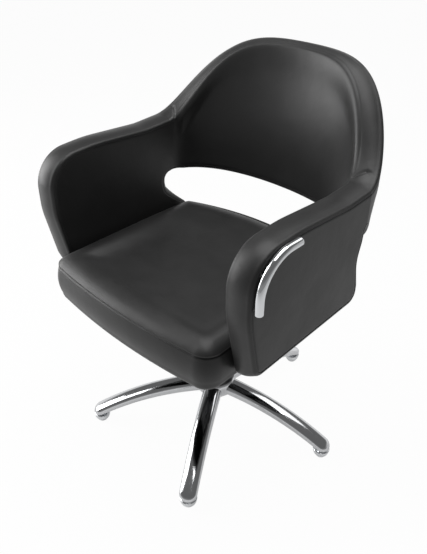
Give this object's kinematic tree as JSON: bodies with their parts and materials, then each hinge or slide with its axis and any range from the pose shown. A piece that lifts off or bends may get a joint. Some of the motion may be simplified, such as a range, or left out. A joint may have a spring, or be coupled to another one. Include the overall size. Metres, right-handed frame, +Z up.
{
  "type": "hairdressing chair",
  "caption": "Upholstered hairdressing chair: dished seat, closed padded arms, wrap-round back over an open slot, bright bar on the left arm, turning pump lift on a star base.",
  "frame": {"origin": "the point on the floor under the lift column's axis, with the chair standing on its glides", "axes": "+Z up along the lift column; -Y towards the front edge of the seat, +Y towards the back; +X towards the sitter's left arm, the one with the bright bar. Stored with the lift down and the seat facing -Y."},
  "size_m": [0.615, 0.606, 0.885],
  "materials": {
    "upholstery": "black leatherette over foam, fine grain, soft sheen, sewn edges",
    "bright_cast_metal": "cast and mirror polished",
    "bright_plate": "bright chrome plate on steel",
    "black_steel": "satin black paint on steel",
    "zinc_steel": "zinc-plated fasteners",
    "wood": "bare plywood and beech",
    "rubber": "matt moulded rubber",
    "bearing_plastic": "plain nylon"
  },
  "bodies": {
    "base": {"hub": "bright_cast_metal", "leg_1": "bright_cast_metal", "leg_2": "bright_cast_metal", "leg_3": "bright_cast_metal", "leg_4": "bright_cast_metal", "leg_5": "bright_cast_metal", "leg_bolts": "zinc_steel", "glide_1": "bright_cast_metal", "glide_2": "bright_cast_metal", "glide_3": "bright_cast_metal", "glide_4": "bright_cast_metal", "glide_5": "bright_cast_metal", "glide_pads": "rubber", "pump_body": "black_steel", "gland_nut": "bright_plate", "piston_seal": "rubber", "pedal_pin": "bright_plate"},
    "lift": {"piston": "bright_plate", "column_cover": "bright_plate", "swivel_washer": "bearing_plastic"},
    "seat": {"seat_plate": "black_steel", "plate_bolts": "zinc_steel", "seat_board": "wood", "seat_cushion": "upholstery", "left_bracket": "black_steel", "right_bracket": "black_steel", "bracket_bolts": "zinc_steel", "left_arm_core": "wood", "right_arm_core": "wood", "left_arm_pad": "upholstery", "right_arm_pad": "upholstery", "core_dowels": "wood", "back_core": "wood", "back_pad": "upholstery", "arm_bar": "bright_plate", "bar_studs": "zinc_steel"},
    "pedal": {"pedal_arm": "bright_cast_metal", "pedal_pad": "rubber"}
  },
  "joints": [
    {"name": "lift_slide", "type": "slide", "parent": "base", "child": "lift", "axis": [0, 0, 1], "range_m": [0, 0.13]},
    {"name": "seat_swivel", "type": "hinge", "parent": "lift", "child": "seat", "pos_m": [0, 0, 0.338], "axis": [0, 0, 1], "continuous": true},
    {"name": "pedal_press", "type": "hinge", "parent": "base", "child": "pedal", "pos_m": [-0.03126, 0.05121, 0.151], "axis": [-0.8536, -0.521, 0], "range_deg": [0, 12], "stiffness_Nm_per_rad": 20, "springref_deg": -20.05}
  ]
}
